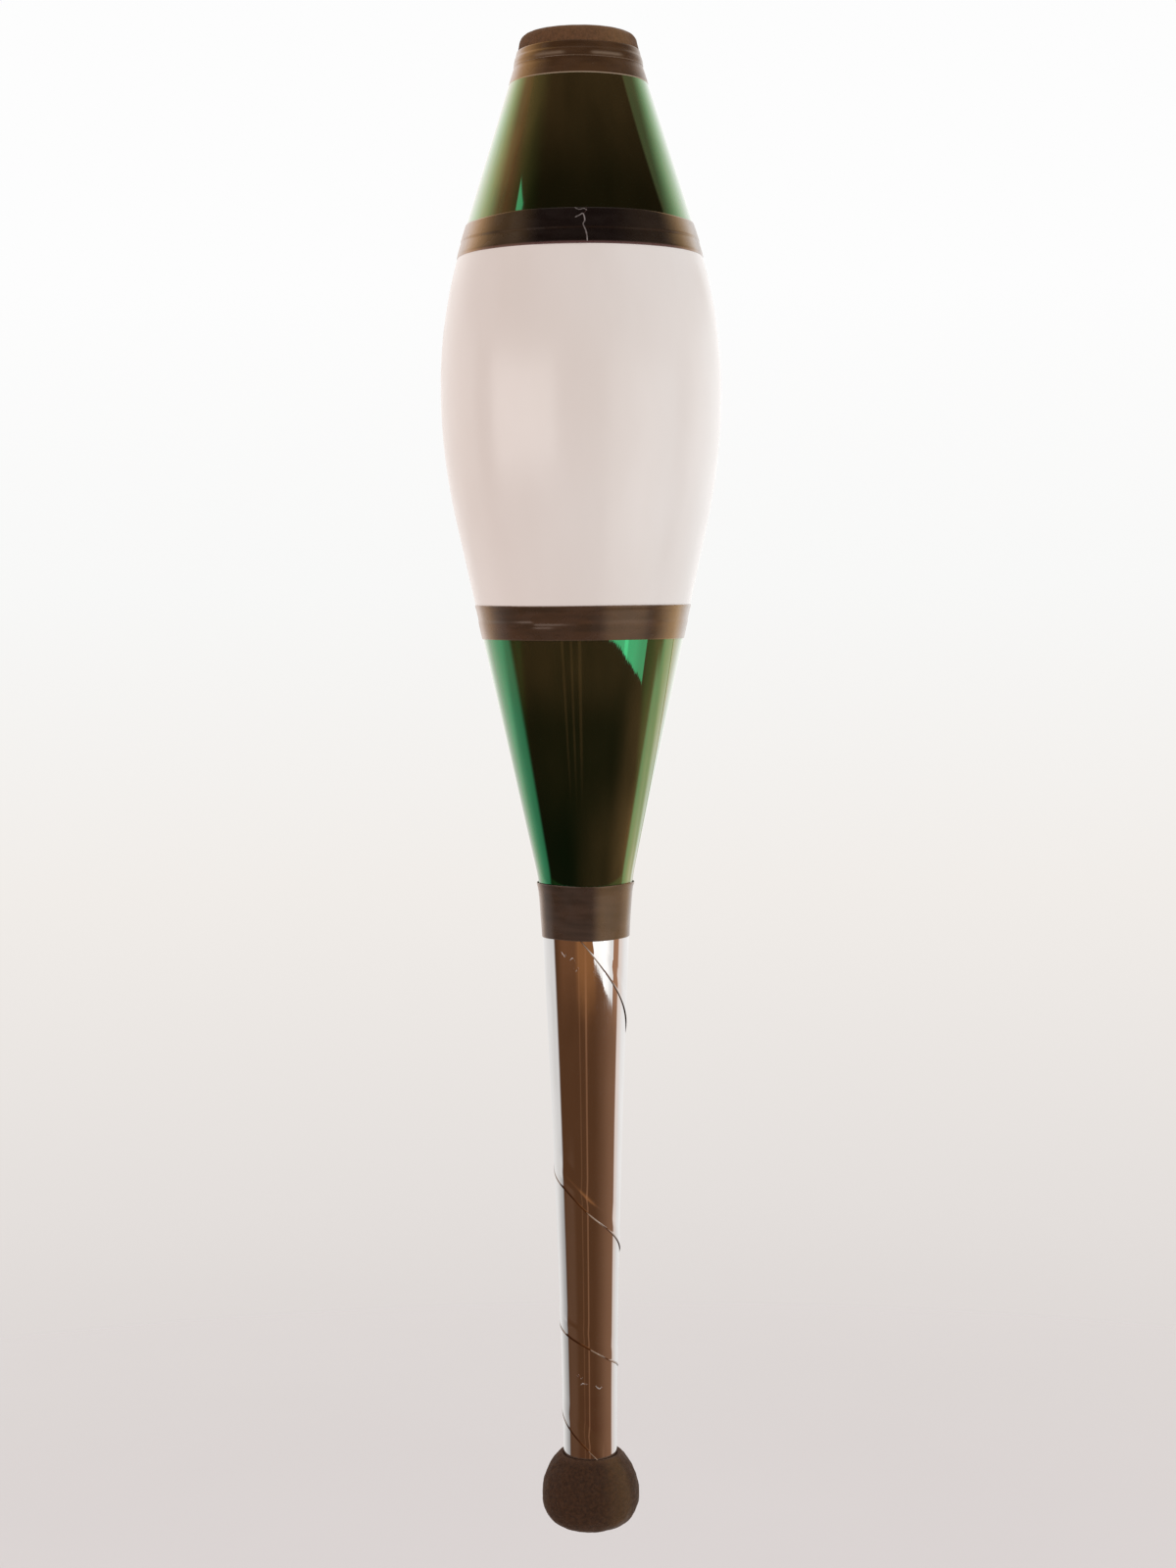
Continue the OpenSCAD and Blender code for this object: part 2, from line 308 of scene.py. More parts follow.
def painted_rim_light(t, left, right):
    """Painted rim reflection, pale film edge on, as (start, end, share) at the left and the right of the
    club.
    """
    side = t.remap(t.math("SINE", t.times(t.where()[0], 1 / DEGREES)), -0.4, 0.4)
    start, end, share = [t.remap(side, 0, 1, a, b, False) for a, b in zip(left, right)]
    return t.times(edge_on(t, start, end), share)


def flank(t, turn, start, end):
    """1 where the degrees round are past end, 0 before start, and 0 again at the back of the club."""
    return t.times(t.remap(turn, start, end), t.remap(t.math("ABSOLUTE", turn), 150, 110))


def painted_side_and_rim_light(parts, left=None, right=None):
    """Painted light and shade on the club's sides as more or less film, each (1 for the right or -1 for the
    left, start and end in degrees, share), and the painted rim light edge on. A share below 0 takes film
    away."""

    def film_and_painted_light(t):
        turn = t.where()[0]
        found = [t.times(flank(t, t.times(turn, side), start, end), part) for side, start, end, part in parts]
        return t.total(*found, painted_rim_light(t, left, right)) if left else t.total(*found)

    return film_and_painted_light


def foam(name, dark, light, wear_and_highlight):
    """Foam: fine pits in a skin that is uneven at two sizes."""
    return finish(
        name, dark, light, (900, 5, EVEN), (0.72, 0.92, 500),
        [(lambda t: t.remap(t.cells(1500), 0.0, 0.45), 0.00018), ((2600, 2), 0.00010), ((260, 3), 0.00025)],
        {"Specular IOR Level": 0.12, "Sheen Weight": 0.08, "Sheen Roughness": 0.4, "Sheen Tint": DUST},
        # more film towards the right and less at the far right: painted light and shade from that side
        wear_and_highlight, painted_side_and_rim_light([(1, 8, 45, 0.05), (1, 52, 64, -0.04)]),
    )


def vinyl(name, dark, light, wear_and_highlight, film_and_painted_light, rough=(0.22, 0.32), shine=0.55):
    """Stretched vinyl tape: lines along the pull, smudges and a pebbled skin. Its fifth argument sets the
    painted light on its sides and its painted rim.
    """
    return finish(
        name, dark, light, (70, 3, (1, 1, 6)), (*rough, 160),
        [((900, 3, (1, 1, 9)), 0.000010), ((420, 3), 0.000012), ((2200, 2), 0.000004)],
        {
            "Specular IOR Level": shine, "Specular Tint": (1.0, 0.80, 0.70, 1),
            "Sheen Weight": 0.2, "Sheen Roughness": 0.35, "Sheen Tint": DUST,
        },
        wear_and_highlight, painted_side_and_rim_light(*film_and_painted_light),
    )


# the lower foil's lengthwise edge leans: degrees round + SEAM_LEAN x height is SEAM_FOOT along it
SEAM_LEAN, SEAM_FOOT = 0.2, 126.1
# the upper foil's film is thicker to the right of a line that leans the same way
RIGHT_FILM_LEAN, RIGHT_FILM_FOOT = 0.195, 135.8
# the lower foil's lengthwise scratches, in degrees round
SCRATCHES = ((-12.6, -11.2), (-7.6, -6.2), (-3.0, -1.2))


def lower_film_and_painted_light(t):
    """The lower foil's brown film: more at the top and to the right, most along its seam and past it, and
    some in its lengthwise scratches. Its growth to the right and its pale rim edge on are painted light."""
    turn, height = t.where()
    low = t.remap(height, 275, 245)
    scratches = t.total(*[t.window(turn, start, end, 0.4) for start, end in SCRATCHES])
    across = t.total(turn, t.times(height, SEAM_LEAN), -SEAM_FOOT)
    past_seam, on_seam = t.remap(across, -0.6, 0.6), t.window(across, -0.5, 0.5, 0.3)
    return t.total(
        0.017,
        t.remap(height, 285, 308, 0, 0.034),
        t.times(flank(t, turn, 20, 42), t.remap(height, 306, 285, 0.025, 0.065)),
        t.times(low, t.remap(turn, -15, 20, 0, 0.03)),
        t.times(low, t.remap(turn, 0, -20, 0, -0.014)),
        t.times(scratches, t.remap(height, 256, 285), 0.032),
        painted_rim_light(t, (55.5, 84.5, 0.31), (43, 79, 0.47)),
        t.times(past_seam, flank(t, turn, 55, 60), 0.04),
        t.times(on_seam, 0.45),
    )


def upper_film_and_painted_light(t):
    """The upper foil's brown film: more at the top, most at the left there, and more right of a leaning line.
    Its pale rim edge on is painted light.
    """
    turn, height = t.where()
    left = t.times(turn, -1)
    off = t.total(turn, t.times(height, RIGHT_FILM_LEAN), -RIGHT_FILM_FOOT)
    right_film = t.times(t.remap(off, -1.0, 0.6), flank(t, turn, 33, 36))
    return t.total(
        0.011,
        t.remap(height, 460, 503, 0, 0.037),
        painted_rim_light(t, (34.5, 77, 0.455), (55, 80.5, 0.36)),
        t.times(flank(t, left, 8, 30), t.remap(height, 475, 503), 0.018),
        t.times(right_film, 0.045),
    )


def green_foil(name, film_and_painted_light):
    return finish(
        name, (18, 156, 95), (25, 163, 101), (40, 3, (6, 6, 1)), (0.010, 0.022, 60),
        [((34, 2, (1.6, 1.6, 0.5)), 0.00001)],
        {"Metallic": 1.0, "Coat Weight": 0.75, "Coat Roughness": 0.03, "Coat IOR": 1.5},
        (120, 92, 70), film_and_painted_light,
    )


MATERIALS = {
    "body": finish(
        "moulded_polyethylene", (219, 205, 197), (224, 211, 204), (26, 4, (1, 1, 0.35)), (0.20, 0.27, 90),
        [((55, 2, (1, 1, 0.5)), 0.00006), ((1400, 3), 0.000006)], {}, (236, 231, 228),
    ),
    "foam": foam("black_foam", (51, 32, 20), (66, 42, 26), (84, 57, 40)),
    "cap_foam": foam("cap_foam", (84, 57, 36), (98, 66, 43), (104, 72, 46)),
    # each tape's film shares paint light and shade on its sides, and a pale rim edge on
    "band": vinyl(
        "body_tape", (57, 40, 26), (71, 48, 32), (104, 78, 62),
        ([(1, 8, 16, 0.06), (1, 33, 39, -0.045)], (50.5, 80.5, 0.5), (40, 75, 0.5)),
    ),
    "upper_band": vinyl(
        "upper_body_tape", (13, 10, 8), (22, 17, 14), (96, 66, 64),
        ([(-1, 18, 32, 0.065), (1, 12, 36, 0.02)], (44.5, 79, 0.62), (48.5, 75, 0.45)),
    ),
    "cap_tape": vinyl(
        "cap_tape", (58, 37, 18), (72, 48, 27), (150, 128, 108), ([], (36, 71, 0.52), (55.5, 84, 0.2)),
    ),
    "collar": vinyl(
        "collar_tape", (52, 38, 28), (65, 47, 36), (96, 74, 62),
        ([(1, 5, 25, 0.13)], (59.5, 82, 0.32), (46.5, 83, 0.16)), (0.22, 0.38), 0.5,
    ),
    "torn": finish(
        "whitened_vinyl", (96, 84, 80), (128, 116, 112), (900, 3, EVEN), (0.4, 0.6, 900),
        [((2500, 3), 0.00003)], {},
    ),
    "lower_green": green_foil("lower_mirror_foil", lower_film_and_painted_light),
    "upper_green": green_foil("upper_mirror_foil", upper_film_and_painted_light),
    "silver": finish(
        "silver_mirror_foil", (247, 245, 243), (252, 250, 249), (60, 3, (5, 5, 1)), (0.02, 0.05, 80),
        [((60, 3, (2, 2, 0.5)), 0.00002)],
        {"Metallic": 1.0, "Coat Weight": 0.2, "Coat Roughness": 0.04}, (116, 90, 68),
    ),
    "steel": finish(
        "zinc_plated_steel", (150, 148, 146), (196, 194, 190), (700, 4, EVEN), (0.22, 0.42, 700),
        [((1500, 3), 0.00002)], {"Metallic": 1.0},
    ),
    "dark_plastic": finish(
        "dark_plastic", (30, 30, 31), (42, 42, 43), (300, 4, EVEN), (0.35, 0.5, 300),
        [((2000, 3), 0.00002)], {},
    ),
    "sleeve": finish(
        "sleeve_plastic", (206, 206, 202), (220, 220, 216), (60, 3, (1, 1, 0.3)), (0.3, 0.42, 120),
        [((900, 3), 0.00001)], {},
    ),
    "white_foam": finish(
        "white_foam", (222, 222, 216), (238, 238, 233), (500, 4, EVEN), (0.8, 0.95, 400),
        [(lambda t: t.cells(1200), 0.0002)], {"Specular IOR Level": 0.3},
    ),
    "wood": finish(
        "beech", (178, 138, 96), (206, 170, 126), (26, 6, (9, 9, 0.5)), (0.45, 0.62, 300),
        [((60, 5, (12, 12, 0.6)), 0.00006)], {"Specular IOR Level": 0.4},
    ),
}

# ---- building pieces

SHARP = rad(40)  # the angle between faces past which an edge stays crisp


def piece(name, verts, faces, material, nodes=(), wear_and_highlight=None):
    """One closed mesh as a piece of the club, standing for the CAD nodes named."""
    mesh = bpy.data.meshes.new(name)
    mesh.from_pydata(verts.tolist(), [], faces if isinstance(faces, list) else faces.tolist())
    mesh.update()
    if wear_and_highlight is not None:
        values = np.asarray(wear_and_highlight, np.float32).ravel()
        mesh.attributes.new("wear_and_highlight", "FLOAT", "POINT").data.foreach_set("value", values)
    work = bmesh.new()
    work.from_mesh(mesh)
    bmesh.ops.recalc_face_normals(work, faces=work.faces)
    work.to_mesh(mesh)
    work.free()
    mesh.shade_smooth()
    mesh.set_sharp_from_angle(angle=SHARP)
    mesh.materials.append(MATERIALS[material])
    made = placed(name, mesh)
    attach(made, BODY)
    if nodes:
        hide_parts(*nodes)
    return made


def grid_faces(columns, rows, closed=False):
    """Quads over a grid of vertices, column after column."""
    c = np.arange(columns if closed else columns - 1)[:, None]
    r = np.arange(rows - 1)[None, :]
    nxt = (c + 1) % columns
    quads = [c * rows + r, nxt * rows + r, nxt * rows + r + 1, c * rows + r + 1]
    return np.stack(quads, -1).reshape(-1, 4)


def on_club(angle, radius, z):
    return np.stack([radius * np.sin(angle), -radius * np.cos(angle), z], -1)


def strip(name, angle, z, inner, outer, material, nodes, wear_and_highlight):
    """A closed thin sheet wrapped round the club. Its shape and its share of edge colour, wear and on the
    tapes painted highlights, are columns x rows arrays.
    """
    columns, rows = angle.shape
    count = columns * rows
    verts = np.concatenate([on_club(angle, radius, z).reshape(-1, 3) for radius in (outer, inner)])
    face = grid_faces(columns, rows)
    index = np.arange(count).reshape(columns, rows)
    border = np.concatenate([index[:, 0], index[-1, 1:], index[-2::-1, -1], index[0, -2:0:-1]])
    after = np.roll(border, -1)
    sides = np.stack([border, after, after + count, border + count], -1)
    faces = np.concatenate([face, face[:, ::-1] + count, sides])
    return piece(name, verts, faces, material, nodes, wear_and_highlight=np.concatenate([wear_and_highlight.ravel(), wear_and_highlight.ravel()]))


def turned(name, section, material, nodes, shape, angles=around(160), wear_and_highlight=None):
    """A closed ring of the section's (radius, height) points. shape(angle, radius, height) changes the last
    two, and wear gives the rubbed share from the same three."""
    section, angles = np.array(section), np.array(angles)
    angle = np.repeat(angles[:, None], len(section), 1)
    radius = np.repeat(section[None, :, 0], len(angles), 0)
    z = np.repeat(section[None, :, 1], len(angles), 0)
    radius, z = shape(angle, radius, z)
    columns, rows = angle.shape
    c = np.arange(columns)
    nxt = (c + 1) % columns
    closing = np.stack([c * rows + rows - 1, nxt * rows + rows - 1, nxt * rows, c * rows], -1)
    faces = np.concatenate([grid_faces(columns, rows, closed=True), closing])
    edge_wear_and_highlight = wear_and_highlight(angle, radius, z) if wear_and_highlight else None
    return piece(name, on_club(angle, radius, z).reshape(-1, 3), faces, material, nodes, edge_wear_and_highlight)


def rounded(points):
    """A closed section with its corners rounded: points are (radius, height, corner radius in mm)."""
    made, count, steps = [], len(points), 4
    for i, (x, y, corner) in enumerate(points):
        here, size = np.array([x, y]), corner * MM
        if size <= 0:
            made.append(here)
            continue
        before, after = np.array(points[i - 1][:2]) - here, np.array(points[(i + 1) % count][:2]) - here
        before, after = before / np.linalg.norm(before), after / np.linalg.norm(after)
        half = math.acos(np.clip(before @ after, -1, 1)) / 2
        reach = size / math.tan(half)
        middle = here + (before + after) / np.linalg.norm(before + after) * size / math.sin(half)
        first, last = here + before * reach - middle, here + after * reach - middle
        sweep = math.acos(np.clip(first @ last / size**2, -1, 1))
        for k in range(steps + 1):
            a = sweep * k / steps
            made.append(middle + (first * math.sin(sweep - a) + last * math.sin(a)) / math.sin(sweep))
    return made


STRAND_SIDES, STRAND_STEPS = 8, 6  # faces round a thread, and steps between two of its points


def thread(name, path, width, material, under, height=0.6):
    """A flattened rod half sunk in the surface under, thinning out at both ends. path is (distance round from
    the front, height) pairs, width its widest, and height its thickness as a share of that."""
    points = np.array(path, float)
    t = np.linspace(0, len(points) - 1, (len(points) - 1) * STRAND_STEPS + 1)
    i = np.clip(t.astype(int), 0, len(points) - 2)
    f = (t - i)[:, None]
    p0, p1 = points[np.maximum(i - 1, 0)], points[i]
    p2, p3 = points[i + 1], points[np.minimum(i + 2, len(points) - 1)]
    square, cube = 2 * p0 - 5 * p1 + 4 * p2 - p3, 3 * p1 - p0 - 3 * p2 + p3
    line = 0.5 * (2 * p1 + (p2 - p0) * f + square * f**2 + cube * f**3)
    ahead = np.gradient(line, axis=0)
    ahead /= np.linalg.norm(ahead, axis=1)[:, None]
    side = np.stack([-ahead[:, 1], ahead[:, 0]], -1)
    half = width / 2 * np.clip(np.minimum(t, t[-1] - t) * 2.2 + 0.25, 0, 1)
    ring = around(STRAND_SIDES)
    across = line[:, None, :] + side[:, None, :] * (half[:, None] * np.cos(ring))[:, :, None]
    radius = under(across[..., 1]) + (half[:, None] * np.sin(ring)) * height
    verts = on_club(across[..., 0] / under(across[..., 1]), radius, across[..., 1]).reshape(-1, 3)
    n = STRAND_SIDES
    faces = [
        [c * n + k, c * n + (k + 1) % n, (c + 1) * n + (k + 1) % n, (c + 1) * n + k]
        for c in range(len(line) - 1) for k in range(n)
    ]
    faces += [list(range(n)), list(range(len(line) * n - n, len(line) * n))]
    return piece(name, verts, faces, material)


# ---- the moulded body

WALL = 1.8 * MM
SCREW_HOLE = 2.2 * MM
_, BODY_LOW, BODY_TOP = span("body_shell")
PARTING = (rad(90), rad(270))  # the mould's two lengthwise parting lines


def make_body():
    """A hollow shell with a screw hole in its crown and fine ridges along its parting lines."""
    z = np.concatenate([np.arange(BODY_LOW, BODY_TOP - 2.2 * MM, 1.6 * MM), [BODY_TOP - 1.2 * MM]])
    outer = [(body_at(h), h) for h in z]
    lip = body_at(BODY_TOP)
    crown = [
        (lip - 0.10 * MM, BODY_TOP - 0.4 * MM), (lip - 0.5 * MM, BODY_TOP),
        (lip * 0.6, BODY_TOP), (SCREW_HOLE, BODY_TOP),
    ]
    ceiling = BODY_TOP - 2 * MM
    inner = [(SCREW_HOLE, ceiling), (lip * 0.6, ceiling)]
    inner += [(body_at(h) - WALL, h) for h in z[::-1][2:]]
    near = [p + d * MM / 40 for p in PARTING for d in (-1.6, -0.9, -0.5, -0.25, 0, 0.25, 0.5, 0.9, 1.6)]
    angles = sorted(set(np.round(np.concatenate([around(180), near]), 6)))

    def shape(angle, radius, z):
        skin = radius > body_at(z) - WALL / 2
        for p in PARTING:
            ridge = 0.09 * MM * bell(chord(angle, p, radius), 0, 0.32 * MM)
            radius = radius + np.where(skin, ridge, 0)
        radius = radius + np.where(skin, 0.05 * MM * ripple(angle, z, 11, 5, 4, 60), 0)
        return np.minimum(radius, cad_high.x), z

    def wear_and_highlight(angle, radius, z):
        return sum(bell(chord(angle, p, radius), 0, 0.3 * MM) for p in PARTING) * 0.45

    section = outer + crown + inner
    turned("body", section, "body", ["body_shell"], shape, angles, wear_and_highlight)


make_body()

# ---- foil on the two cones

CONE_LAP, CONE_FOIL = rad(9), 0.12 * MM  # how far the foil laps over its own start, and how thick it is


def cone_foil(name, node, look, seam, lean, seed):
    """A sheet of foil rolled once round a cone, its lengthwise edge lying over its start. The edge is at the
    angle seam at the cone's top, and leans by so many radians for each metre down."""
    _, low, high = span(node)
    close = TURN + CONE_LAP * rise(np.linspace(0, 1, 26), -1, 1) * 2 - CONE_LAP
    u = [np.linspace(0, CONE_LAP, 8)[:-1], np.linspace(CONE_LAP, TURN, 180)[:-1], close]
    u = np.clip(np.concatenate(u), 0, TURN + CONE_LAP)
    angle = seam - CONE_LAP - TURN + np.unique(np.round(u, 7))
    angle, z = np.meshgrid(angle, np.linspace(low, high, 70), indexing="ij")
    base = body_at(z)
    to_edge = (seam - angle) * base
    lift = CONE_FOIL * 1.15 * rise(angle, seam - CONE_LAP - rad(5), seam - CONE_LAP)
    angle = angle + lean * (high - z)
    lip = 0.10 * MM * bell(to_edge, 0.15 * MM, 0.35 * MM)
    wave = 0.012 * MM * ripple(angle, z, seed, 6, 5, 90)
    inner = base + lift + 0.01 * MM
    wear_and_highlight = 0.8 * bell(to_edge, 0, 0.22 * MM)
    strip(name, angle, z, inner, inner + CONE_FOIL + lip + wave, look, [node], wear_and_highlight)


FILM_TOP = span("lower_film")[2] / MM + GRIP
SEAM_TOP = rad(SEAM_FOOT - SEAM_LEAN * FILM_TOP)
cone_foil("lower_foil", "lower_film", "lower_green", SEAM_TOP, rad(SEAM_LEAN) / MM, 21)
cone_foil("upper_foil", "upper_film", "upper_green", rad(-112), 0, 22)

# ---- wound tapes

EDGE_GAPS = np.array((0, 0.06, 0.14, 0.26, 0.42, 0.7)) * MM  # from a tape's edge to the vertices near it


def edge_wear_and_highlight(depth, lip):
    """Share of edge colour, wear and painted highlight, at a depth from a tape's edge over lip millimetres.
    """
    return 1 - rise(depth, lip * 0.6 * MM, lip * 1.2 * MM)


def tape(
    name, node, material, end, shape, seed, thick=0.15, count=26, lap=20, torn=None,
    edges=(0, 0), lips=(0.3, 0.3), under=body_at, wander=0.10, sag=None, rubs_and_highlights=None,
):
    """Tape wound once round the surface under and lap degrees over its own start, to the angle end. In
    millimetres, shape(angle, z) is how far its skin stands off, torn(share) how far its end reaches at each
    share of its width, wander and sag(angle, share) how far it strays from level, and lips how far in the
    colour of its lower and upper edge reaches. edges is how strong that colour is, partly wear and partly a
    painted highlight, and the last argument, of (angle, share), gives where else that colour lies."""
    _, low, high = span(node)
    start = end - TURN - rad(lap)
    near = np.concatenate([np.linspace(rad(6), rad(0.8), 14)[:-1], np.linspace(rad(0.8), 0, 7)])
    lapped = start + rad(np.linspace(0, lap, 10))[:-1]
    columns = [lapped, np.linspace(start + rad(lap), end - rad(6), 200)[:-1], end - near]
    rows = [low + EDGE_GAPS, np.linspace(low + 1.0 * MM, high - 1.0 * MM, count), high - EDGE_GAPS[::-1]]
    angle, z = np.meshgrid(np.concatenate(columns), np.concatenate(rows), indexing="ij")
    share, base = (z - low) / (high - low), under(z)
    if torn:
        reach = torn(share) / base * MM
    else:
        reach = 0.12 * MM / base * ripple(0 * z, z, seed + 5, 4, 3, 900)
    angle = angle + reach * rise(angle, end - rad(6), end)
    wound = rise(angle, end - rad(lap) - rad(2), end - rad(lap) + rad(1))
    drift = wander * MM * ripple(angle, 0 * z, seed, 4, 4, 0)
    if sag:
        drift = drift + sag(angle, share) * MM
    z = z + drift
    above_low, below_high = z - low - drift, high + drift - z
    soft = 1 - rise(np.minimum(above_low, below_high), 0.0, 0.26 * MM)
    soft_end = 1 - rise((end + reach - angle) * under(z), 0.0, 0.3 * MM)
    skin = under(z) + shape(angle, z) * MM + thick * MM * 0.8 * wound
    outer = skin + thick * MM * (1 - 0.55 * np.maximum(soft, soft_end))
    # the edges' colour is partly wear and partly a painted highlight along them
    wear_and_highlight = edges[0] * edge_wear_and_highlight(above_low, lips[0]) + edges[1] * edge_wear_and_highlight(below_high, lips[1]) + 0.4 * soft_end
    if rubs_and_highlights:
        wear_and_highlight = wear_and_highlight + rubs_and_highlights(angle, share)
    inner = np.minimum(skin, outer - 0.05 * MM)
    strip(name, angle, z, inner, outer, material, [node], np.clip(wear_and_highlight, 0, 1))


def lower_band(angle, z):
    """A wrinkle runs round it. Left of the front it jumps down, and a second short one lies under it."""
    jump = 0.9 * rise(angle, rad(-29), rad(-26)) * rise(angle, rad(4), rad(-6))
    low = up(322.9) - jump * MM
    wrinkle = 0.20 * rise(z, low, low - 0.6 * MM)
    second = 0.16 * rise(angle, rad(-30), rad(-27)) * rise(angle, rad(-12), rad(-18))
    second = second * step(z, 320.9, 320.4) * step(z, 317.5, 319.5)
    top = 0.10 * step(z, 326.6, 327.2)
    return 0.02 + wrinkle + second + top + 0.02 * ripple(angle, z, 31, 5, 9, 500)


def upper_band(angle, z):
    """It stands off above a wrinkle round its middle, and lies close at its lower edge."""
    wave = 0.15 * MM * ripple(angle, 0 * z, 4, 4, 6, 0)
    wrinkle, foot = 0.22 * rise(z + wave, up(451.1), up(451.6)), 0.10 * step(z, 446.6, 447.1)
    return 0.02 + wrinkle + foot + 0.02 * ripple(angle, z, 32, 5, 9, 500)


def torn_end(share):
    """How far the upper body tape's torn end reaches, in millimetres, from its lower edge to its upper."""
    heights = (0, 0.9, 4.2, 6.2, 7.6, 9.7, 10.4, 11.4, 12)
    return np.interp(share * 12, heights, (2.4, 2.4, 1.9, 1.1, 1.65, 1.15, 1.9, 2.4, 2.2))


def upper_sag(angle, share):
    """The upper body tape's upper edge hangs a little lower away from the front."""
    way = np.abs(angle + TURN * (angle < -math.pi))
    return -0.9 * share * rise(way, rad(25), rad(62))


tape("lower_band", "lower_band_tape", "band", rad(152), lower_band, 41, edges=(0.15, 0.45))
tape(
    "upper_band", "upper_band_tape", "upper_band", 0.0, upper_band, 42,
    torn=torn_end, edges=(0.8, 0), lips=(0.8, 0.3), wander=0.03, sag=upper_sag,
)


def cap_base(z):
    return np.where(z < BODY_TOP, body_at(z), cap_at(z))


def cap_lower(angle, z):
    return 0.02 + 0.08 * step(z, 509.6, 508.4) + 0.02 * ripple(angle, z, 33, 5, 9, 500)


def cap_upper(angle, z):
    """It lies over the first tape's upper edge, and its own lower edge drapes."""
    drape = 0.14 * step(z, 510.6, 511.5) - 0.18 * step(z, 512.5, 513.4)
    return 0.16 + drape + 0.02 * ripple(angle, z, 34, 5, 9, 500)


def cap_painted_highlights(angle, share):
    """Two short painted highlights near the front, along the upper tape's lower edge."""
    way = (angle + math.pi) % TURN - math.pi
    left = rise(way, rad(-48), rad(-36)) * rise(way, rad(-9), rad(-17))
    right = rise(way, rad(9), rad(15)) * rise(way, rad(46), rad(36))
    return 0.40 * (left + right) * bell(share, 0.22, 0.10)


tape(
    "cap_tape_low", "cap_tape_lower", "cap_tape", rad(198), cap_lower, 43,
    count=18, under=cap_base, edges=(1, 0), lips=(0.34, 0.3), wander=0.05,
)
# two painted highlights lie along this tape's lower edge
tape(
    "cap_tape_high", "cap_tape_upper", "cap_tape", rad(-100), cap_upper, 44,
    count=14, under=cap_base, edges=(0.2, 0), wander=0.08, rubs_and_highlights=cap_painted_highlights,
)

COLLAR_TOP = span("neck_tape")[2]


def collar_base(z):
    return collar_at(z) - 0.30 * MM


def collar(angle, z):
    """Several turns: three lower edges show as ridges near the top, and the top edge flares a little."""
    down = (COLLAR_TOP - z) / MM
    ridges = 0.10 * rise(down, 1.5, 1.2) + 0.08 * rise(down, 3.2, 2.8) + 0.05 * rise(down, 5.3, 4.9)
    flare = (0.08 + 0.2 * bell(np.sin((angle - rad(78)) / 2), 0, 0.25)) * rise(down, 1.6, 0)
    return ridges + flare + 0.06 * ripple(angle, z, 35, 6, 7, 420)


tape(
    "collar", "neck_tape", "collar", rad(228), collar, 45,
    thick=0.22, lap=30, edges=(0.2, 0.2), under=collar_base,
)

# the upper tape's torn end: its whitened edge, and the strand pulled out of it
BAND_LOW = span("upper_band_tape")[1]
TORN_EDGE = (-1.7, 8.5), (-0.2, 9.2), (1.1, 9.8), (1.65, 7.7), (1.1, 6.3), (1.9, 4.3), (2.35, 2.3), (2.4, 0.5)
TORN_STRAND = (-1.7, 11.9), (-0.2, 11.2), (1.4, 11.5), (2.4, 10.9)


def band_skin(z):
    return body_at(z) + (0.34 + 0.20 * step(z, 451.1, 451.6)) * MM


for name, points, width in (("torn_edge", TORN_EDGE, 0.42), ("torn_strand", TORN_STRAND, 0.36)):
    path = [(x * MM, BAND_LOW + h * MM) for x, h in points]
    thread(name, path, width * MM, "torn", band_skin)

# ---- the handle's spirally wound foil

# the foil's lower edge as it winds down the handle: degrees from the front, and height counted as for up()
EDGE = (
    (-30, 220.5), (8, 207.8), (90, 181.5), (180, 153), (270, 131), (324, 123.7), (365, 115.8), (407, 109.1),
    (450, 102), (630, 75.5), (665, 73), (696, 70.7), (772, 63), (810, 60), (990, 44), (1022, 40.2),
    (1046, 36.8), (1110, 26),
)
WRAP_LAP, WRAP_FOIL = 4 * MM, 0.10 * MM  # how far a wrap laps over the next one down, and how thick it is
# from a wrap's lower edge to the vertices near it
WRAP_GAPS = np.array((0, 0.10, 0.2, 0.32, 0.46, 0.65, 0.9, 1.3, 1.9, 2.8, 4.0, 5.5, 8)) * MM


def make_handle_foil():
    """One strip wound down the handle, each wrap's lower edge free, a little curled and darkened along it."""
    _, low, high = span("handle_film")
    turns, levels = np.array(EDGE).T
    turns = rad(turns)
    course = curve(turns, up(levels))

    def edge(angle):
        return np.clip(course(angle), low, high)

    a = np.arange(turns[0], turns[-1] + TURN - rad(3), rad(2.5))
    bottom = edge(a)
    top = np.where(a - TURN < turns[0], high, np.minimum(edge(a - TURN) + WRAP_LAP, high))
    keep = top - bottom > 0.3 * MM
    a, bottom, top = a[keep], bottom[keep], top[keep]
    rest = np.linspace(0, 1, 22)[1:]
    height = (top - bottom)[:, None]
    shift = WRAP_GAPS[None, :] * np.minimum(1, height / (10 * MM))
    shift = np.concatenate([shift, shift[:, -1:] + (height - shift[:, -1:]) * rest[None, :]], 1)
    angle = np.repeat(a[:, None], shift.shape[1], 1)
    z = bottom[:, None] + shift
    free = (bottom > low + 0.01 * MM)[:, None]
    lift = 1.25 * WRAP_FOIL * rise(shift, WRAP_LAP * 1.9, WRAP_LAP) * free
    curled = 0.55 + 0.45 * bell(np.sin((angle - rad(75)) / 2), 0, 0.5)
    curl = np.where(free, 0.22 * MM * rise(shift, 0.75 * MM, 0.0) * curled, 0)
    base = sleeve_at(np.clip(z, low, high))
    wave = 0.006 * MM * ripple(angle, z, 51, 6, 3, 120)
    inner = base + lift + curl + 0.01 * MM
    wear_and_highlight = np.where(free, rise(shift, 0.95 * MM, 0.45 * MM), 0) * 0.95
    look, slot = "silver", "silver_mirror_foil"
    strip("handle_foil", angle, z, inner, inner + WRAP_FOIL + wave, look, ["handle_film"], wear_and_highlight)


make_handle_foil()

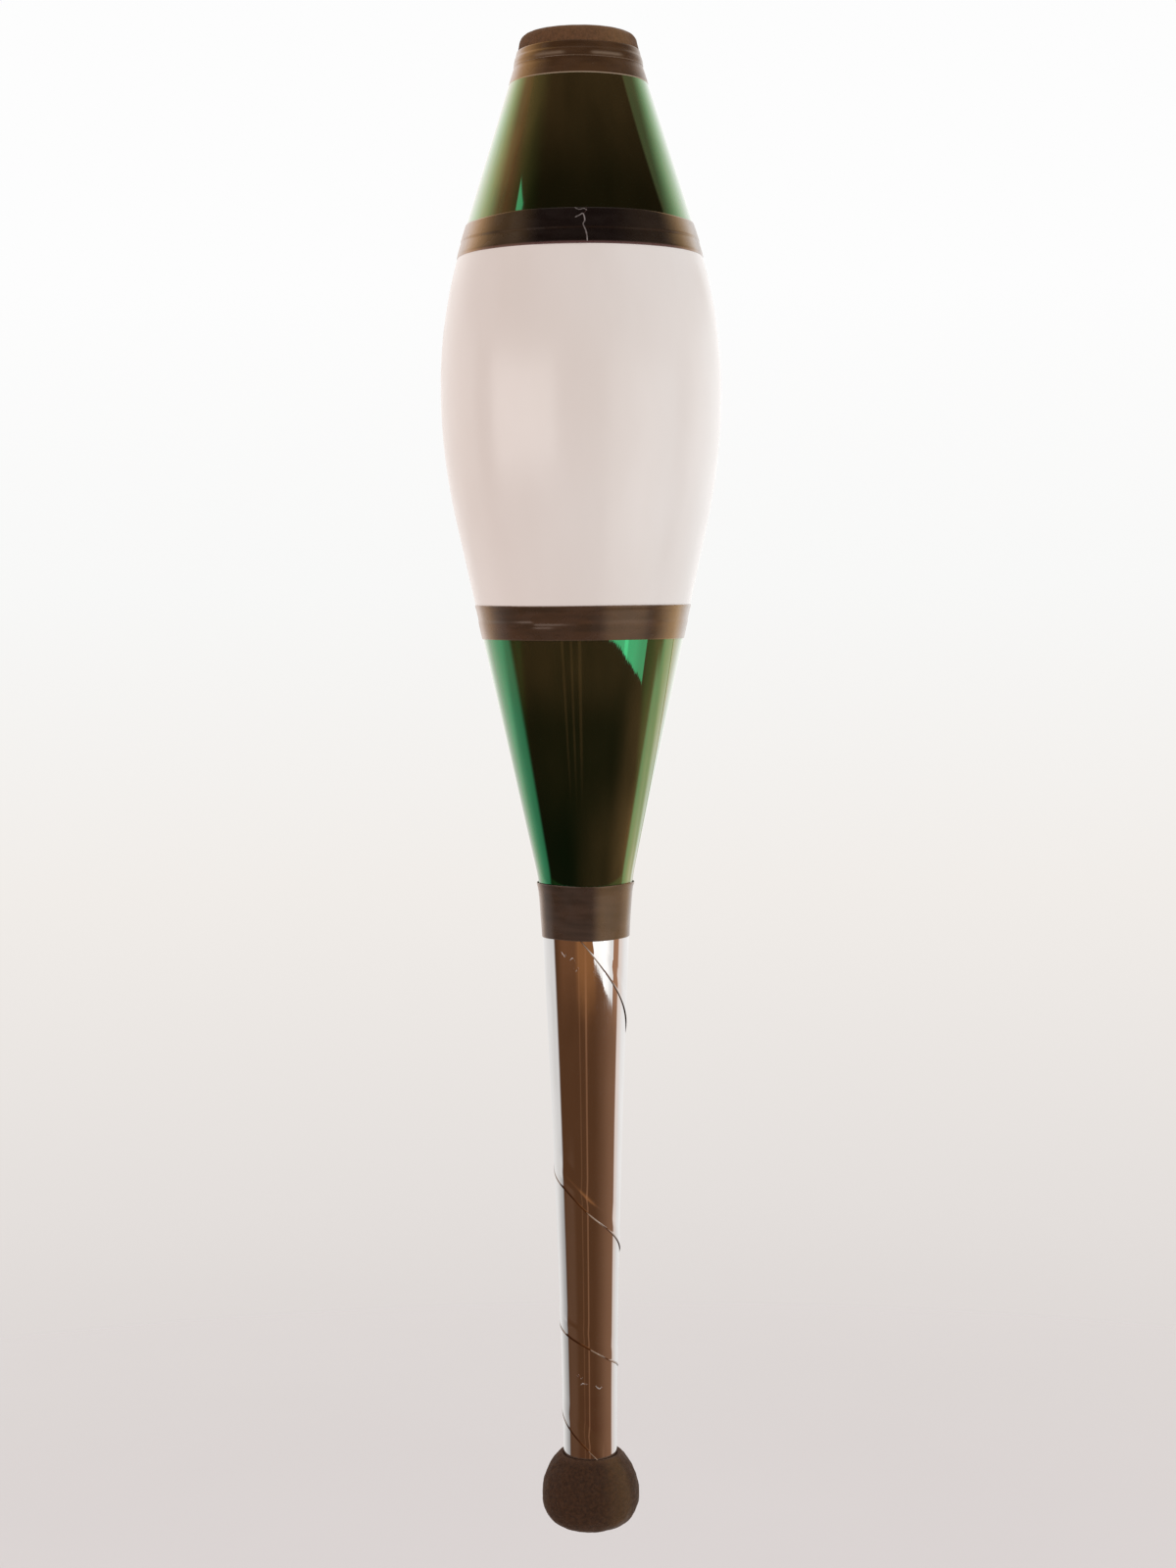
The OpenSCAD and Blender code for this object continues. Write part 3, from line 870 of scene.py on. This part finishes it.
# the foil's small creases: mm round from the front, and height counted as for up()
CREASES = (
    [(-4.4, 58.6), (-3.8, 59.6), (-3.2, 58.2), (-2.6, 58.6)],
    [(-3.4, 55.8), (-2.2, 56.4), (-0.6, 56.2)],
    [(2.0, 55.6), (2.7, 54.8), (3.5, 54.4), (4.5, 54.9)],
    [(-9.0, 209.0), (-7.6, 207.4), (-6.8, 209.2)],
    [(-6.0, 206.0), (-4.6, 207.0), (-3.8, 205.2)],
    [(-4.4, 203.6), (-3.4, 202.6), (-2.8, 203.8)],
)


def handle_skin(z):
    return sleeve_at(z) + 0.11 * MM


for number, points in enumerate(CREASES):
    path = [(x * MM, up(h)) for x, h in points]
    thread(f"foil_crease_{number + 1}", path, 0.22 * MM, "silver", handle_skin, 0.24)

# ---- foam knob, cap and handle padding

FIT = 0.1 * MM  # the play between the knob and what is pushed into it
WASHER_FIT = 0.3 * MM


def foam_skin(angle, z, seed):
    """Two sizes of unevenness over a turned foam part's skin."""
    return ripple(angle, z, seed, 7, 9, 900), ripple(angle, z, seed + 1, 9, 24, 2600)


def make_knob():
    """A ball with a socket for the sleeve and the dowel, and a recess for the washer and the screw below."""
    _, low, high = span("knob")
    washer_r, _, web_low = span("knob_washer")
    dowel_r, dowel_low, _ = span("dowel")
    seat = span("handle_sleeve")[1]
    socket, hole = sleeve_at(seat) + 2 * FIT, dowel_r + FIT
    recess = washer_r + WASHER_FIT
    steps = np.linspace(0, 1, 46)[1:-1]
    outer = [(knob_at(low + (high - low) * s), low + (high - low) * s) for s in steps]
    mouth = knob_at(high)
    # the last two points only steer the rounding of the lips next to them, and are dropped
    inside = rounded(
        [
            (mouth, high, 0.7), (socket, high, 0.45), (socket, seat, 0.2),
            (hole, seat, 0.2), (hole, dowel_low, 0.2), (SCREW_HOLE, dowel_low, 0.2),
            (SCREW_HOLE, web_low, 0.2), (recess, web_low, 0.3), (recess, low, 0.8),
            (recess + 1.6 * MM, low + 0.42 * MM, 0), (mouth + 3 * MM, high - 2.6 * MM, 0),
        ]
    )[:-2]
    section = [p for p in outer if p[1] > low + 0.5 * MM] + [tuple(p) for p in inside]

    def shape(angle, radius, z):
        skin = (radius > knob_at(z) - 0.6 * MM) & (z > low + 0.5 * MM)
        coarse, fine = foam_skin(angle, z, 61)
        push = (0.10 * coarse + 0.07 * fine) * MM - 0.1 * MM
        return np.minimum(radius + np.where(skin, push, 0), radius.max()), z

    def wear_and_highlight(angle, radius, z):
        return 0.4 * bell(z, high, 1.0 * MM) + 0.5 * bell(z, low, 1 * MM)

    turned("knob_ball", section, "foam", ["knob"], shape, around(220), wear_and_highlight)


def make_cap():
    """A flat cap with a rounded shoulder, and a recess for the washer and the screw."""
    _, low, high = span("top_cap")
    washer_r, web_high, _ = span("cap_washer")
    recess, flat_r = washer_r + WASHER_FIT, washer_r + WASHER_FIT + 7.2 * MM
    shoulder = high - 3.2 * MM
    bend = high - 3.2 * MM * (1 - np.sin(rad(np.arange(8, 86, 6))))
    z = np.concatenate([np.linspace(low + 0.2 * MM, shoulder, 9), bend])
    outer = [(cap_at(h), h) for h in z]
    inside = rounded(
        [
            (flat_r, high, 0), (recess, high, 0.8), (recess, web_high, 0.3),
            (SCREW_HOLE, web_high, 0.2), (SCREW_HOLE, low, 0.2), (cap_at(low), low, 0.1),
        ]
    )

    def shape(angle, radius, z):
        skin = radius > cap_at(z) - 0.4 * MM
        coarse, fine = foam_skin(angle, z, 63)
        push = (0.06 * coarse + 0.05 * fine) * MM
        flat = (z > high - 0.3 * MM) & (radius < recess + 7.5 * MM) & (radius > recess + 0.5 * MM)
        dip = np.where(flat, -0.06 * MM * (1 + ripple(angle * 3, radius, 65, 5, 7, 1200)), 0)
        return radius + np.where(skin, push, 0), np.minimum(z + dip, high)

    def wear_and_highlight(angle, radius, z):
        edge = 0.7 * bell(np.hypot(radius - recess - 7.6 * MM, z - high), 0, 3 * MM)
        return edge + 0.5 * bell(radius - recess, 0, 0.8 * MM) * (z > high - 2 * MM)

    section = outer + [tuple(p) for p in inside]
    turned("cap", section, "cap_foam", ["top_cap"], shape, around(220), wear_and_highlight)


def make_padding():
    """White foam between the dowel and the sleeve, with a slit along its back."""
    outer_r, low, high = span("handle_foam")
    inner_r = span("dowel")[0] + 0.12 * MM
    z = np.linspace(low + 0.4 * MM, high - 0.4 * MM, 90)
    section = [(outer_r, h) for h in z] + [(outer_r - 0.4 * MM, high), (inner_r, high)]
    section += [(inner_r, h) for h in z[::-1]] + [(inner_r, low), (outer_r - 0.4 * MM, low)]

    def shape(angle, radius, z):
        skin = radius > (outer_r + inner_r) / 2
        gap = 0.5 * MM * bell(chord(angle, rad(180), radius), 0, 0.5 * MM)
        return radius - np.where(skin, gap + 0.06 * MM * (1 + ripple(angle, z, 66, 6, 5, 700)), 0), z

    turned("handle_padding", section, "white_foam", ["handle_foam"], shape)


make_knob()
make_cap()
make_padding()

# ---- CAD parts that stay as they are

KEPT = {
    "steel": ("knob_screw", "knob_washer", "cap_screw", "cap_washer"),
    "dark_plastic": ("handle_end_ring", "neck_bushing", "top_disc"),
    "sleeve": ("handle_sleeve",),
    "wood": ("dowel",),
}
for look, names in KEPT.items():
    for node in names:
        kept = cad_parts[node]
        kept.data.materials.clear()
        kept.data.materials.append(MATERIALS[look])

# ---- camera, light and studio

# the camera's backdrop from SKY_LOW to SKY_HIGH degrees above level: (share of the way up, screen colour)
SKY_LOW, SKY_HIGH = -22, 14
SKY = (
    (0.0, (216, 210, 207)), (0.25, (229, 224, 221)), (0.43, (241, 237, 233)), (0.61, (248, 248, 247)),
    (0.79, (253, 253, 253)),
)
# the dim brown room that mirrors see in front of the club
ROOM_NEAR, ROOM_RIGHT = (0.084, 0.036, 0.016, 1), (0.205, 0.105, 0.060, 1)
ROOM_LOW, ROOM_HIGH = (0.06, 0.013, 0.010, 1), (0.05, 0.008, 0.006, 1)
ROOM_GLOW, ROOM_SHELF = (0.26, 0.11, 0.04, 1), (0.108, 0.053, 0.029, 1)
ROOM_CORNER, ROOM_WEDGE = (0.06, 0.045, 0.02, 1), (0.72, 0.72, 0.70, 1)
ROOM_CEILING, ROOM_FLOOR = (0.55, 0.52, 0.50, 1), (0.46, 0.43, 0.41, 1)
STREAKS = ((-22.5, -19.5, 0.6, (0.17, 0.08, 0.04, 1)), (-4.2, 1.0, 1.0, (0.185, 0.088, 0.045, 1)))


def paint_sky(t, above):
    """What the camera sees: white above, a pale grey below."""
    sky = t.node("ValToRGB", {0: t.remap(above, SKY_LOW, SKY_HIGH, smooth=False)})
    stops = sky.color_ramp.elements
    for place, colour in SKY:
        stop = stops[0] if place == 0 else stops.new(place)
        stop.position, stop.color = place, tone(*colour)
    stops[-1].color = tone(*SKY[-1][1])
    return sky.outputs[0]


def paint_room(t, turn, above):
    """What mirrors see in front: a dim brown room, lighter to the right, with two thin upright streaks. turn
    and above are degrees round and above level."""
    room = t.mix(t.remap(turn, 15, 100), ROOM_NEAR, ROOM_RIGHT)
    for start, end, share, colour in STREAKS:
        room = t.mix(t.times(t.window(turn, start, end, 1.2), share), room, colour)
    # above its dark lowest part it is lighter, with a warm glow in front
    ahead = t.total(above, t.times(t.math("ABSOLUTE", turn), -0.015))
    lighter = t.times(t.remap(ahead, -14.8, -13.4), t.remap(turn, -92, -64), 0.7)
    room = t.scaled(room, t.total(1, lighter))
    glow = t.times(t.window(turn, -26, 28, 8), t.remap(ahead, -14.7, -13.5), 0.8)
    room = t.mix(glow, room, ROOM_GLOW)
    room = t.mix(t.remap(above, -19.2, -21.4), room, ROOM_LOW)
    # a lighter shelf at the left, just above the dark part
    shelf = t.times(t.window(turn, -90, -50, 10), t.remap(above, -15.5, -16.5), t.remap(above, -20.5, -19.5))
    room = t.mix(shelf, room, ROOM_SHELF)
    room = t.mix(t.remap(above, 16, 24), room, ROOM_HIGH)
    room = t.mix(t.times(t.remap(turn, -45, -85), t.remap(above, 33, 37)), room, ROOM_CORNER)
    # a small bright wedge at the left, high up
    lift = t.total(above, t.times(t.total(turn, 76.5), -0.179), -36)
    front = t.remap(t.total(turn, 66.4, t.times(lift, 17)), 1.2, -1.2)
    wedge = t.times(front, t.window(turn, -77.6, -65.5, 0.8), t.remap(above, 28, 32))
    room = t.mix(wedge, room, ROOM_WEDGE)
    room = t.mix(t.remap(above, 52, 68), room, ROOM_CEILING)
    return t.mix(t.remap(above, -37, -50), room, ROOM_FLOOR)


def paint_backdrop(t, x, y, turn, above):
    """The white backdrop that mirrors see behind the club, and its share. x points right and y back. Low down
    it is fairly even. High up it fades towards its sides, and begins along a leaning line at the right."""
    high, right = t.remap(above, 8, 18), t.remap(x, -0.1, 0.1)

    def by_side(a, b):
        return t.remap(right, 0, 1, a, b)

    start = t.remap(above, -14, -18, 0.12, 0.17)
    low_gate = t.mix(right, t.remap(y, 0.03, 0.18), t.remap(y, start, t.total(start, 0.12)))
    slant = t.total(turn, t.times(above, 2.46), -177.7)
    high_gate = t.mix(right, t.remap(y, 0.05, 0.14), t.remap(slant, -1.0, 1.5))
    gate = t.blend(high, low_gate, high_gate)
    # how bright it is: low down, with the left dimmer at the bottom, and high up
    dim = t.times(t.remap(above, -14, -16.5), t.without(right))
    even = t.total(
        t.remap(y, 0.3, 0.9, 0.66, 0.78),
        t.times(dim, t.remap(y, 0.0, 0.9, -0.40, 0.04, False)),
        t.times(right, t.remap(above, -13, -17, 0.08, 0.0)),
        t.remap(above, -10, -5, 0, 0.42),
    )
    fading = t.remap(y, by_side(0.10, 0.08), by_side(0.85, 0.92), 0.0, by_side(1.36, 1.10))
    fading = t.math("MAXIMUM", fading, by_side(0.05, 0.12))
    warm = t.mix(t.times(right, t.remap(y, 0.65, 0.25)), (1.0, 0.985, 0.975, 1), (1.0, 0.86, 0.79, 1))
    return t.scaled(warm, t.blend(high, even, fading)), t.times(gate, t.remap(above, 58, 48))


def paint_light(t, x, y):
    """What lights the club: soft, a little stronger from behind and from the right."""
    light = t.mix(t.remap(x, -1, 1), (0.935, 0.87, 0.845, 1), (1.06, 1.15, 1.20, 1))
    depth = t.mix(t.remap(y, -0.6, 0.9), (0.985, 0.975, 0.97, 1), (1.38, 1.44, 1.47, 1))
    return t.node("VectorMath", {0: light, 1: depth}, operation="MULTIPLY").outputs[0]


def make_world():
    world = bpy.data.worlds.new("studio")
    bpy.context.scene.world = world
    t = Tree(world)
    way = t.node("SeparateXYZ", {0: t.node("TexCoord").outputs["Generated"]}).outputs
    x, y, z = way[0], way[1], way[2]
    turn = t.degrees_round(way)
    above = t.times(t.math("ARCSINE", z), DEGREES)
    white, gate = paint_backdrop(t, x, y, turn, above)
    mirror = t.mix(gate, paint_room(t, turn, above), white)
    rays = t.node("LightPath").outputs
    reflected = t.math("MAXIMUM", rays["Is Glossy Ray"], rays["Is Transmission Ray"])
    colour = t.mix(reflected, paint_light(t, x, y), mirror)
    colour = t.mix(rays["Is Camera Ray"], colour, paint_sky(t, above))
    background = t.node("Background", {"Color": colour, "Strength": 1.0})
    t.node("OutputWorld", {"Surface": background.outputs[0]})


# the cards stand in front of the club: (degrees from the front, mm from the axis, lower and upper height)
WINDOW_RIGHT = (
    (21, 534, 83, 505), (30, 545, 78, 505), (44, 590, 63, 505), (54, 629, 49, 505), (67, 695, 32, 505),
    (80, 790, 10, 505),
)
WINDOW_LEFT = ((-74, 600, 267, 506), (-47, 600, 267, 506), (-20, 600, 267, 506))


def make_card(name, outline, colour, strength, stripe=None):
    """An upright card in front of the club, seen only in reflections. Its outline is a list of such stations.
    stripe is the degrees between which it is brighter, and a card with one dims towards its right end."""
    turn, far, low, top = np.array(outline, float).T
    verts = np.concatenate([on_club(rad(turn), far * MM, up(level)) for level in (low, top)])
    n = len(outline)
    mesh = bpy.data.meshes.new(name)
    mesh.from_pydata(verts.tolist(), [], [[k, k + 1, k + 1 + n, k + n] for k in range(n - 1)])
    material = bpy.data.materials.new(name)
    t = Tree(material)
    if stripe:
        at = t.where()[0]
        brighter = t.total(1, t.times(t.window(at, *stripe, 0.8), 0.5))
        strength = t.times(brighter, t.remap(at, 58, 74, 1, 0.72), strength)
    glow = t.node("Emission", {"Color": (*colour, 1), "Strength": strength})
    t.node("OutputMaterial", {"Surface": glow.outputs[0]})
    mesh.materials.append(material)
    card = placed(name, mesh)
    for ray in ("camera", "diffuse", "shadow", "transmission", "volume_scatter"):
        setattr(card, "visible_" + ray, False)


def torn_card(stations, teeth, depth, seed):
    """The same outline with uneven teeth, up to depth millimetres, along its lower edge."""
    draw = np.random.default_rng(seed)
    turn, far, low, top = np.array(stations, float).T
    share = np.linspace(0, 1, teeth * 2 + 1)
    at = turn[0] + (turn[-1] - turn[0]) * share
    tooth = np.where(np.arange(len(at)) % 2, 1, -1) * depth * draw.uniform(0.2, 1, len(at))
    ragged = np.interp(at, turn, low) + tooth
    shifted = at + draw.uniform(-0.2, 0.2, len(at))
    return np.stack([shifted, np.interp(at, turn, far), ragged, np.interp(at, turn, top)], -1)


FLOOR = -330  # the floor's height, counted as for up(): a third of a metre under the knob
FLOOR_DARK, FLOOR_LIGHT = tone(204, 195, 192), tone(209, 200, 197)


def make_floor():
    """A pale floor, a little darker right below the club as a painted shadow. It fades out far off and isn't
    there from below.
    """
    mesh = bpy.data.meshes.new("floor")
    work = bmesh.new()
    bmesh.ops.create_circle(work, cap_ends=True, segments=64, radius=4.0)
    work.to_mesh(mesh)
    work.free()
    floor = placed("floor", mesh)
    floor.location.z = up(FLOOR)
    material = bpy.data.materials.new("floor")
    t = Tree(material)
    far = t.node("VectorMath", {0: t.place()}, operation="LENGTH").outputs["Value"]
    clear = t.math("MAXIMUM", t.remap(far, 0.7, 2.0), t.node("NewGeometry").outputs["Backfacing"])
    # the tint darkens near the club's axis: a painted shadow
    tint = t.scaled(t.mix(t.noise(3, 4), FLOOR_DARK, FLOOR_LIGHT), t.remap(far, 0.025, 0.12, 0.93, 1.0))
    plain = t.node("BsdfDiffuse", {"Color": tint}).outputs[0]
    through = t.node("BsdfTransparent").outputs[0]
    mixed = t.node("MixShader", {0: clear, 1: plain, 2: through}).outputs[0]
    t.node("OutputMaterial", {"Surface": mixed})
    mesh.materials.append(material)
    floor.visible_glossy = False
    floor.visible_diffuse = False


CAMERA_PLACE = (0, -0.8986, 0.2148)
CAMERA_TURN, CAMERA_DOWN, CAMERA_ROLL = -0.076, 4.38, -0.49  # degrees
CAMERA_LENS, CAMERA_SENSOR = 59.6, 36  # mm


def make_camera():
    data = bpy.data.cameras.new("camera")
    data.sensor_width = CAMERA_SENSOR
    data.lens = CAMERA_LENS
    camera = placed("camera", data)
    turns = ((CAMERA_TURN, "Z"), (90 - CAMERA_DOWN, "X"), (CAMERA_ROLL, "Z"))
    pan, tilt, roll = (Matrix.Rotation(rad(degrees), 4, axis) for degrees, axis in turns)
    camera.matrix_world = Matrix.Translation(Vector(CAMERA_PLACE)) @ (pan @ tilt @ roll)
    bpy.context.scene.camera = camera


make_world()
make_floor()
make_camera()
make_card("window_right", torn_card(WINDOW_RIGHT, 24, 2.0, 7), (1.0, 0.985, 0.97), 1.08, stripe=(49.5, 54))
make_card("window_left", WINDOW_LEFT, (1.0, 0.96, 0.94), 2.1)
bpy.context.scene.view_settings.view_transform = "Standard"

bpy.context.view_layer.update()
